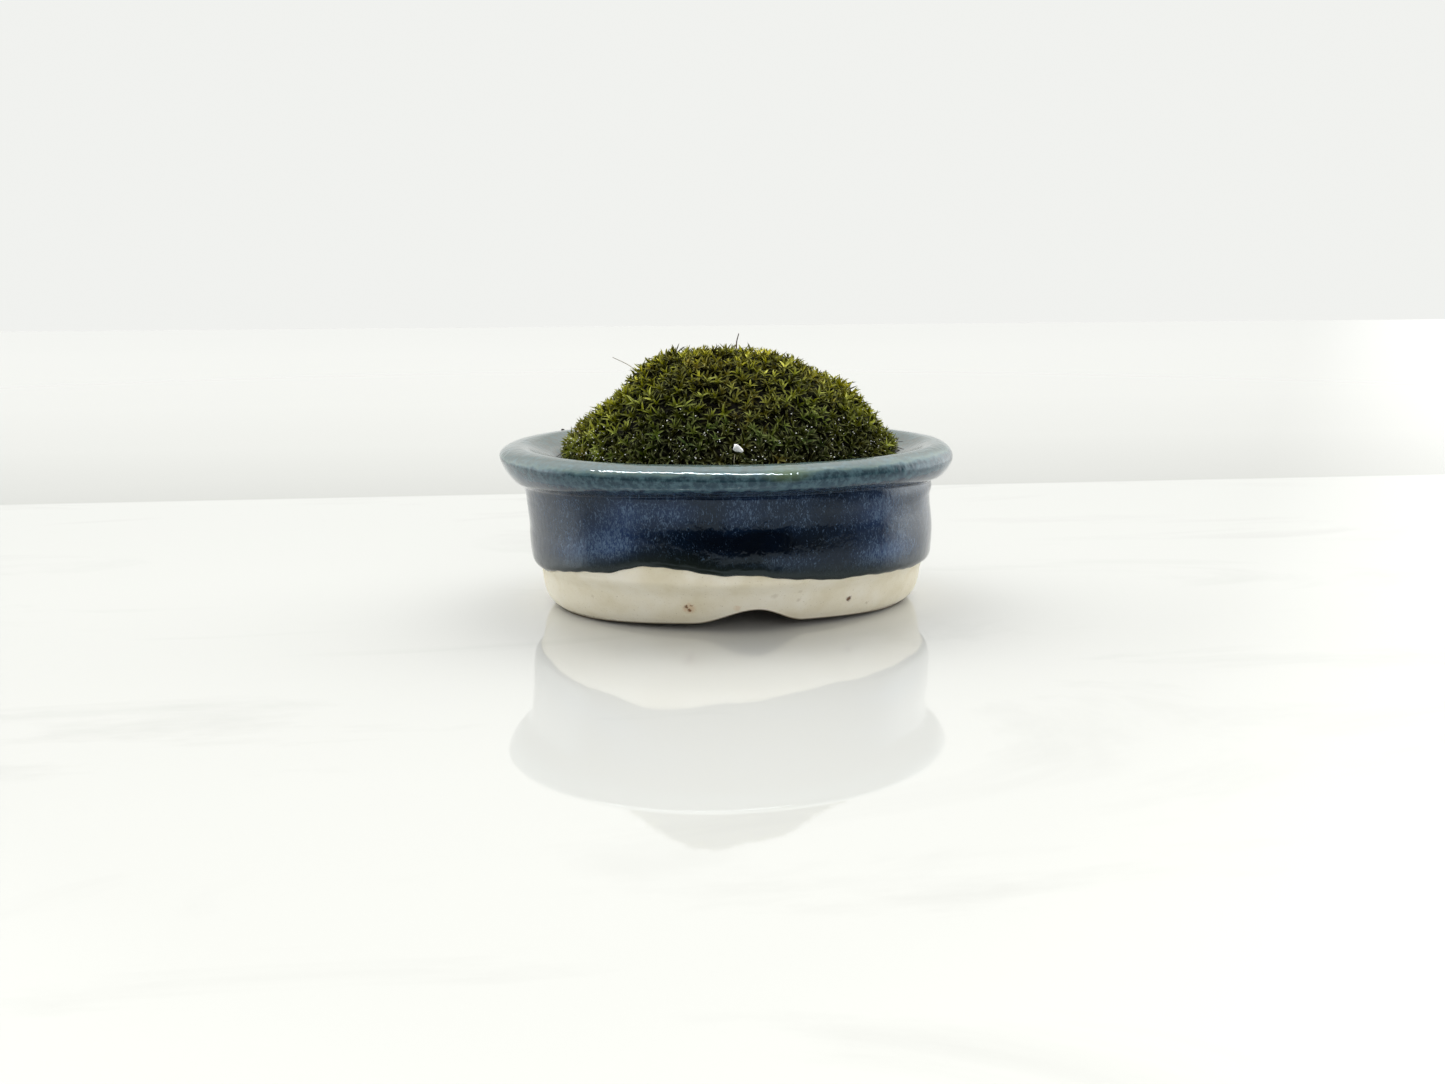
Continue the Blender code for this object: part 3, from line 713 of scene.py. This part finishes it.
# Equal areas of the cushion, counted outwards from its middle and then down its upright edge
EDGE_DEPTH = 2.6
PLACE_STRAY, WAY_STRAY = 0.28, 0.24  # how far a sprig's place, in mm, and its direction stray
mean_radius = math.sqrt(MOSS_LENGTH * MOSS_WIDTH)
out = np.linspace(0, 1, 400)
strip = 2 * np.pi * out * mean_radius * np.hypot(mean_radius, np.gradient(dome(out), out))
area_within = np.concatenate([[0], np.cumsum((strip[1:] + strip[:-1]) / 2 * np.diff(out))])
edge_area = 2 * np.pi * mean_radius * EDGE_DEPTH
taken = (index + 0.5) / SPRIGS * (area_within[-1] + edge_area)
reach = np.interp(taken, area_within, out)
below_edge = np.clip(taken - area_within[-1], 0, None) / edge_area * EDGE_DEPTH
angle = index * GOLDEN_ANGLE
even_x, even_y = on_cushion(reach, angle)
tip_x = even_x + random.normal(0, PLACE_STRAY, SPRIGS)
tip_y = even_y + random.normal(0, PLACE_STRAY, SPRIGS)
# None strays over the edge, and those near it lean out
OUTERMOST = 0.985
inside = np.minimum(1.0, OUTERMOST / way_out(tip_x, tip_y))
tip_x, tip_y = tip_x * inside, tip_y * inside
outward = np.stack([np.cos(angle), np.sin(angle), 0 * angle], -1)
at_edge = eased(0.80, 1.0, reach)[:, None]
facing = unit(
    cushion_normal(tip_x, tip_y) + 0.9 * at_edge * outward + np.array([0, 0, 0.25]) * (1 - at_edge)
    + random.normal(0, WAY_STRAY, (SPRIGS, 3)) + 1.2 * outward * (below_edge[:, None] > 0)
)
size = random.uniform(0.86, 1.24, SPRIGS)
sunk = 1.5 * random.random(SPRIGS) ** 1.5
tips = np.stack([tip_x, tip_y, cushion_height(tip_x, tip_y) - below_edge], -1)
CROWN_DEPTH = 1.05
crowns = tips - facing * (CROWN_DEPTH * size + sunk)[:, None]

# One frame of directions for each sprig, and one row for each of its leaves. Age is 0 at the
# topmost leaf and 1 at the lowest, which is the longest and leans out most.
STEM = 1.35
across = unit(np.cross(facing, random.normal(0, 1, (SPRIGS, 3))))
beside = np.cross(facing, across)
age = np.arange(LEAVES) / (LEAVES - 1)
spin = random.uniform(0, 2 * np.pi, (SPRIGS, 1)) + np.arange(LEAVES) * GOLDEN_ANGLE
spin = spin + random.normal(0, 0.15, spin.shape)
out_way = np.cos(spin)[..., None] * across[:, None] + np.sin(spin)[..., None] * beside[:, None]
axis = facing[:, None, :] + 0 * out_way
flat_way = np.cross(axis, out_way)
leaf_length = (1.5 + 1.2 * np.sqrt(age)) * size[:, None] * random.uniform(0.8, 1.2, spin.shape)
leaf_width = (0.43 + 0.10 * age) * size[:, None] * random.uniform(0.85, 1.15, spin.shape)
lean_out = np.radians(22 + 60 * age ** 0.5) + random.normal(0, 0.16, spin.shape)
curl_out = np.radians(42) * random.uniform(-0.6, 1.5, spin.shape)
sideways = random.normal(0, 0.22, spin.shape)
base = crowns[:, None, :] - axis * ((STEM * age ** 0.9)[None, :] * size[:, None])[..., None]

# A leaf is a flattened tube of three sections and a point. A section is V-shaped: two edges
# raised over a middle, and a keel under it. The line through them curves outwards.
STATIONS = np.array([0.0, 0.36, 0.72, 1.0])
BREADTH = np.array([0.8, 1.0, 0.62])
TROUGH, KEEL = 0.45, 0.15  # over half the leaf's width: how high its edges stand, how deep its keel
THICKNESS = 0.045
line = [base]
for start, end in zip(STATIONS[:-1], STATIONS[1:]):
    bent = lean_out + curl_out * (start + end) / 2
    way = np.cos(bent)[..., None] * axis + np.sin(bent)[..., None] * out_way
    way = way + (sideways * (start + end) / 2)[..., None] * flat_way * 2
    line.append(line[-1] + way * (leaf_length * (end - start))[..., None])
corners = []
for station, centre, breadth in zip(STATIONS, line, BREADTH):
    bent = (lean_out + curl_out * station)[..., None]
    upper = np.sin(bent) * axis - np.cos(bent) * out_way
    half_width = (leaf_width * breadth / 2)[..., None]
    corners += [
        centre - flat_way * half_width + upper * half_width * TROUGH,
        centre,
        centre + flat_way * half_width + upper * half_width * TROUGH,
        centre - upper * (THICKNESS + half_width * KEEL),
    ]
corners.append(line[-1])
leaf_points = np.stack(corners, axis=2)
CORNERS = len(corners)
along_leaf = np.repeat(STATIONS, [4, 4, 4, 1])
leaf_squares = grid_faces(3, 4, close_rows=False)
point_fan = [(8 + side, 8 + (side + 1) % 4, CORNERS - 1) for side in range(4)]
leaf_triangles = np.concatenate([
    leaf_squares[:, [0, 1, 2]], leaf_squares[:, [0, 2, 3]], point_fan, [(0, 3, 2), (0, 2, 1)],
])

# Where sprigs dried brown: a scatter of single ones, and patches, each with its place across and
# in depth, its spread and how brown it is
DRY_PATCHES = ((1.4, -20.7, 5.0, 0.6), (17.7, -6.9, 4.0, 0.6), (-36.0, -1.0, 3.5, 0.4),
               (-8.0, -14.0, 3.5, 0.5), (9.0, 14.0, 6.0, 0.7), (-16.0, 19.0, 4.0, 0.6))
dry = 0.12 * random.random(SPRIGS) + 0.6 * (random.random(SPRIGS) < 0.03)
for x, y, spread, amount in DRY_PATCHES:
    dry = dry + amount * np.exp(-((tip_x - x) ** 2 + (tip_y - y) ** 2) / (2 * spread ** 2)) * (
        0.35 + 0.65 * random.random(SPRIGS))
# How pale a green each sprig is: by chance, darker as painted shade where it is sunk deeper, and
# paler as painted light at the cushion's two ends and on their upper shoulders
vigour = random.random(SPRIGS) ** 2.0 * (1 - 0.3 * sunk) + 0.15 * eased(26, 35, np.abs(tip_x))
vigour += 0.15 * eased(14, 27, np.abs(tip_x)) * eased(38, 44, tips[:, 2])
vigour = np.clip(vigour, 0, 0.9)
# Those by the rim along both sides and in a hollow at the right front are painted nearly black:
# painted shade of the rim and the hollow
painted_rim_shade = eased(-39.5, -35.6, -tips[:, 2]) * (1 - eased(24, 32, np.abs(tip_x)))
painted_hollow_shade = np.exp(-((tip_x - 26.5) ** 2 + (tip_y + 17.5) ** 2) / (2 * 4.2 ** 2))
painted_hollow_shade = painted_hollow_shade * eased(-42.0, -39.0, -tips[:, 2])
vigour = vigour * (1 - 0.8 * painted_rim_shade) * (1 - 0.95 * painted_hollow_shade)

# Moss leaf: thin, waxy and a little glossy. Painted light makes it yellow-green on top of the
# cushion, and its own dark green down its sides is deepened by painted shade. It is brown on dried
# sprigs, and painted shade darkens it to the base of a sprig.
leaf_green, tree, shader, place = principled(
    "moss_leaf", Roughness=0.45, IOR=1.4, Specular_IOR_Level=0.1, Specular_Tint="b4c46e",
)
parts = add(tree, "SeparateXYZ", {"Vector": place}).outputs
# The green turns with the height, from painted shade low down to painted light on top; the
# height drifts by up to 8 mm in patches 5 mm across
patchy = add(tree, "TexNoise", {"Vector": place, "Scale": 210, "Detail": 3})
drift = add(tree, "Math", (patchy, 0.016, -0.008), operation="MULTIPLY_ADD")
# The cushion's two ends are painted as lit as its top: painted light
sideways = add(tree, "Math", (parts["X"],), operation="ABSOLUTE")
painted_end_light = add(tree, "MapRange", (sideways, 0.014, 0.034, 0.0, 0.012))
drift = add(tree, "Math", (drift, painted_end_light))
level = add(tree, "Math", (parts["Z"], drift))
high = add(tree, "MapRange", (level, 0.034, 0.058))
green = add(tree, "ValToRGB", (high,), [
    (0.0, "243420"), (0.25, "384a1c"), (0.6, "747a26"), (0.85, "98972c"), (1.0, "aea636"),
])
along_mark, age_mark, dry_mark, vigour_mark = (
    add(tree, "Attribute", attribute_name=name).outputs["Fac"]
    for name in ("along", "age", "dry", "vigour")
)
fuller = add(tree, "MapRange", (vigour_mark, 0.0, 1.0, 1.2, 0.84))
lighter = add(tree, "MapRange", (vigour_mark, 0.0, 1.0, 0.15, 3.3))
varied = add(tree, "HueSaturation", {"Saturation": fuller, "Value": lighter, "Color": green})
browned = add(tree, "MixRGB", (dry_mark, varied, "8e8036"))
# Each leaf pales to its tip: painted light from above
painted_tip_light = add(tree, "MapRange", (along_mark, 0.4, 1.0, 0.0, 0.45))
tipped = add(tree, "MixRGB", (painted_tip_light, browned, "bcc084"))
# Lower, older leaves of a sprig are painted darker: painted shade
shade = add(tree, "ValToRGB", (age_mark,), [
    (0.0, 1.0), (0.27, 0.74), (0.5, 0.2), (0.75, 0.04), (1.0, 0.01),
])
shaded = add(tree, "MixRGB", (1.0, tipped, shade), blend_type="MULTIPLY")
feed(shader, {"Base Color": shaded})

# Five pieces, one for each fifth of the way round
fifth = np.clip(((np.arctan2(tip_y, tip_x) + np.pi) / (2 * np.pi) * 5).astype(int), 0, 4)
for part, name in enumerate(("left_front", "front", "right", "back", "left_back")):
    here = fifth == part
    leaves = leaf_points[here].reshape(-1, CORNERS, 3)
    faces = (np.arange(len(leaves)) * CORNERS)[:, None, None] + leaf_triangles
    ages = np.broadcast_to(age[None, :, None], (here.sum(), LEAVES, CORNERS))
    sprigs = mesh_piece(
        "moss_sprigs_" + name, leaves, faces, [leaf_green], smooth=False,
        along=np.tile(along_leaf, len(leaves)),
        age=ages,
        dry=np.broadcast_to(np.clip(dry[here], 0, 1)[:, None, None], ages.shape),
        vigour=np.broadcast_to(vigour[here][:, None, None], ages.shape),
    )
    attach(sprigs, "root")

# ----------
# White grit: dust and fine grains of pumice that watering left among the lower leaves, which
# also stand in for the glints of wet leaves as painted glints.

GRAINS = 520
golden = (1 + math.sqrt(5)) / 2
# A grain starts as an icosahedron
ICO_POINTS = np.array([
    (-1, golden, 0), (1, golden, 0), (-1, -golden, 0), (1, -golden, 0), (0, -1, golden),
    (0, 1, golden), (0, -1, -golden), (0, 1, -golden), (golden, 0, -1), (golden, 0, 1),
    (-golden, 0, -1), (-golden, 0, 1),
]) / math.hypot(1, golden)
ICO_FACES = np.array([
    (0, 11, 5), (0, 5, 1), (0, 1, 7), (0, 7, 10), (0, 10, 11), (1, 5, 9), (5, 11, 4), (11, 10, 2),
    (10, 7, 6), (7, 1, 8), (3, 9, 4), (3, 4, 2), (3, 2, 6), (3, 6, 8), (3, 8, 9), (4, 9, 5),
    (2, 4, 11), (6, 2, 10), (8, 6, 7), (9, 8, 1),
])
round_angle = random.uniform(0, 2 * np.pi, GRAINS)
grain_reach = 0.75 + 0.24 * np.sqrt(random.random(GRAINS))
grain_x, grain_y = on_cushion(grain_reach, round_angle)
lies = np.stack([grain_x, grain_y, cushion_height(grain_x, grain_y)], -1)
lies -= cushion_normal(grain_x, grain_y) * random.uniform(0.2, 1.1, (GRAINS, 1))
width = random.uniform(0.05, 0.14, (GRAINS, 1, 1)) * random.uniform(0.7, 1.3, (GRAINS, 1, 3))
dust_points = lies[:, None] + ICO_POINTS * width * random.uniform(0.8, 1.2, (GRAINS, 12, 1))
dust_faces = (np.arange(GRAINS) * len(ICO_POINTS))[:, None, None] + ICO_FACES

# White pumice: chalky and dull. Its pores are drawn 0.4 mm across, coarser than the real ones.
pumice_white = grainy("white_pumice", "TexVoronoi", {"Scale": 2600},
                      [(0.1, "e6e3d8"), (0.45, "ffffff")], 0.6, 0.1 * MM, Roughness=0.8)
grit_and_painted_glints = mesh_piece("grit_and_painted_glints", dust_points, dust_faces, [pumice_white], smooth=False)
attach(grit_and_painted_glints, "root")

# ----------
# The white grain in the face of the moss: a worn piece of pumice 2 mm long, on a sphere's grid
# whose radius swells and dips in flat-sided lumps.


# A worn lump's waves: how high, how many across, along and up, and how far shifted
WORN = ((0.13, (2.3, 0.6, 2.2), 0.3), (0.09, (-2.5, 3.2, 3.0), 1.0), (0.05, (5.0, -3.0, 6.0), 2.0),
        (0.03, (9.0, 8.0, -7.0), 0.0))


def lumpy_ball(middle, spans, rows, columns):
    """Points and triangles of a closed ball: rings from pole to pole, whose radius is one plus a
    sum of waves in the direction, stretched to the spans given."""
    polar = (np.arange(1, rows) / rows * np.pi)[:, None]
    ring = np.linspace(0, 2 * np.pi, columns, endpoint=False)
    way = np.stack([np.sin(polar) * np.cos(ring), np.sin(polar) * np.sin(ring),
                    np.cos(polar) + 0 * ring], -1).reshape(-1, 3)
    way = np.concatenate([way, [[0, 0, 1], [0, 0, -1]]])
    swell = 1 + sum(size * np.sin(way @ np.array(wave) + shift) for size, wave, shift in WORN)
    points = np.array(middle) + way * swell[:, None] * np.array(spans) / 2
    return closed_skin(points[:-2].reshape(rows - 1, columns, 3), *points[-2:])


points, faces = lumpy_ball((0, 0, 0), (2.1, 1.5, 1.5), 18, 28)
# It tapers to the right, and that end hangs down
points[:, 1:] *= 1 - 0.30 * points[:, :1]
points[:, 2] -= 0.36 * points[:, 0]
points += (-1.85, -30.2, 37.1)
grain_piece = mesh_piece("pumice_piece", points, faces, [pumice_white])
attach(grain_piece, "root")
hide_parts("pumice_grain")

# ----------
# The stalks: dead seta stalks of old spore capsules, a fifth of a millimetre thick. The one on
# top is dark red-brown; the one at the left is bleached.


def tube(route, radii, sides=8, spans=6):
    """Points and triangles of a closed round tube along a smooth line through the route's points.
    Its rings stand across the line, and it narrows from one radius to the next."""
    path = spline(np.array(route, float), spans)
    way = unit(np.gradient(path, axis=0))
    side = unit(np.cross(way, (0.31, 0.87, 0.39)))
    other = np.cross(way, side)
    ring = np.linspace(0, 2 * np.pi, sides, endpoint=False)
    radius = np.interp(np.linspace(0, 1, len(path)), np.linspace(0, 1, len(radii)), radii)
    rings = path[:, None] + radius[:, None, None] * (
        np.cos(ring)[:, None] * side[:, None] + np.sin(ring)[:, None] * other[:, None])
    return closed_skin(rings, path[0], path[-1], down=False)


def stalk_material(name, root, end, low, high):
    """Dry stalk: smooth but dull, and its root's colour turns to its tip's between two heights."""
    material, tree, shader, place = principled(name, Roughness=0.55)
    height = add(tree, "SeparateXYZ", {"Vector": place}).outputs["Z"]
    share = add(tree, "MapRange", (height, low * MM, high * MM))
    feed(shader, {"Base Color": add(tree, "ValToRGB", (share,), [(0.0, root), (1.0, end)])})
    return material


# Dead stalk: red-brown and darker to its tip. Bleached stalk: pale as straw, with a greyer tip.
red_brown = stalk_material("dead_red_brown_stalk", "6b3a1c", "3a2a22", 54.0, 57.5)
bleached = stalk_material("bleached_stalk", "cfc6ac", "9a938a", 50.0, 53.6)
points, faces = tube(((1.6, 3.0, 53.0), (1.9, 3.0, 55.2), (2.05, 3.0, 56.8), (2.5, 3.0, 58.45)),
                     (0.17, 0.16, 0.13, 0.09))
stalk = mesh_piece("stalk_top", points, faces, [red_brown])
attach(stalk, "root")
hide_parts("seta_top")
points, faces = tube(((-17.2, 1.75, 48.6), (-19.0, 1.8, 49.9), (-22.0, 1.9, 52.0),
                      (-25.25, 2.0, 53.6)), (0.11, 0.10, 0.085, 0.07))
stalk = mesh_piece("stalk_left", points, faces, [bleached])
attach(stalk, "root")
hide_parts("seta_left")

# A third, bleached stump stands under the pumice piece
points, faces = tube(((-2.75, -30.9, 34.0), (-2.72, -31.2, 35.2), (-2.6, -31.1, 36.1)),
                     (0.055, 0.05, 0.04))
stalk = mesh_piece("stalk_stump", points, faces, [bleached])
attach(stalk, "root")

# ----------
# Rootlets: dark wiry ends of old moss stems that came loose at the cushion's edge and lie on the
# dish of the rim.


def merged(parts):
    """The points and faces of several meshes, as one mesh's."""
    starts = np.cumsum([0] + [len(points) for points, faces in parts])
    return (np.concatenate([points for points, faces in parts]),
            np.concatenate([faces + start for (points, faces), start in zip(parts, starts)]))


ROOTLETS = (
    ((32.4, -10.6, 33.4), (34.3, -10.2, 33.7), (35.9, -9.3, 33.6), (35.6, -8.3, 33.2),
     (34.6, -8.2, 33.1)),
    ((33.0, -8.6, 33.8), (34.8, -8.4, 34.7), (36.0, -8.2, 36.2)),
    ((33.4, -7.4, 34.4), (35.3, -7.2, 35.1), (37.2, -7.0, 35.2)),
    ((33.0, -9.4, 33.6), (35.2, -9.2, 34.2), (37.0, -8.8, 33.7)),
    ((-35.0, -5.0, 33.3), (-36.6, -5.2, 33.7), (-37.9, -5.6, 33.0)),
    ((-28.4, 17.6, 34.0), (-30.0, 19.0, 34.4), (-31.4, 19.6, 34.0)),
)
# Dead rootlet: nearly black, a thin dark line on the glaze
old_ends = stalk_material("dead_dark_rootlet", "1c140c", "2e2414", 32.0, 37.0)
points, faces = merged([tube(route, (0.13, 0.12, 0.06), 6, 4) for route in ROOTLETS])
rootlets = mesh_piece("rootlets", points, faces, [old_ends])
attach(rootlets, "root")

# ----------
# Crumbs on the rim: two of dark potting bark at the left, and tan grit against the moss's edge.
# Each rests on the glaze, at the place of the rim's nearest point.


def crumb_pile(name, crumbs, material):
    """One piece of lumpy balls, from each one's place across, place in depth and size. A ball's
    middle is a third of its size over the glaze."""
    balls = []
    for across, deep, size in crumbs:
        nearest = dish_skin[np.hypot(dish_skin[:, 0] - across, dish_skin[:, 1] - deep).argmin()]
        middle = (across, deep, nearest[2] + 0.34 * size)
        balls.append(lumpy_ball(middle, (size, 0.85 * size, 0.75 * size), 8, 12))
    points, faces = merged(balls)
    pile = mesh_piece(name, points, faces, [material])
    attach(pile, "root")


# Bark crumb: near black and matt, with flecks 0.3 mm across
bark = grainy("dark_bark_crumb", "TexNoise", {"Scale": 3000, "Detail": 3},
              [(0.35, "0d0a08"), (0.65, "2b211a")], 0.7, 0.1 * MM, Roughness=0.85)
crumb_pile("bark_crumbs", ((-36.3, 29.8, 0.95), (-47.7, 12.6, 0.5)), bark)

# Tan grit: sandy and matt, with flecks 0.4 mm across
tan = grainy("tan_grit", "TexNoise", {"Scale": 2600, "Detail": 3},
             [(0.35, "9a8658"), (0.65, "d9c9a0")], 0.7, 0.1 * MM, Roughness=0.8)
crumb_pile("edge_grit", (
    (-36.6, 3.0, 1.3), (-37.6, -1.0, 0.5), (-37.2, 5.5, 0.45), (-38.0, 1.6, 0.35),
    (-36.9, -4.2, 0.4), (-34.6, 12.8, 0.6), (36.9, -4.0, 0.4), (30.5, 20.5, 0.7),
), tan)
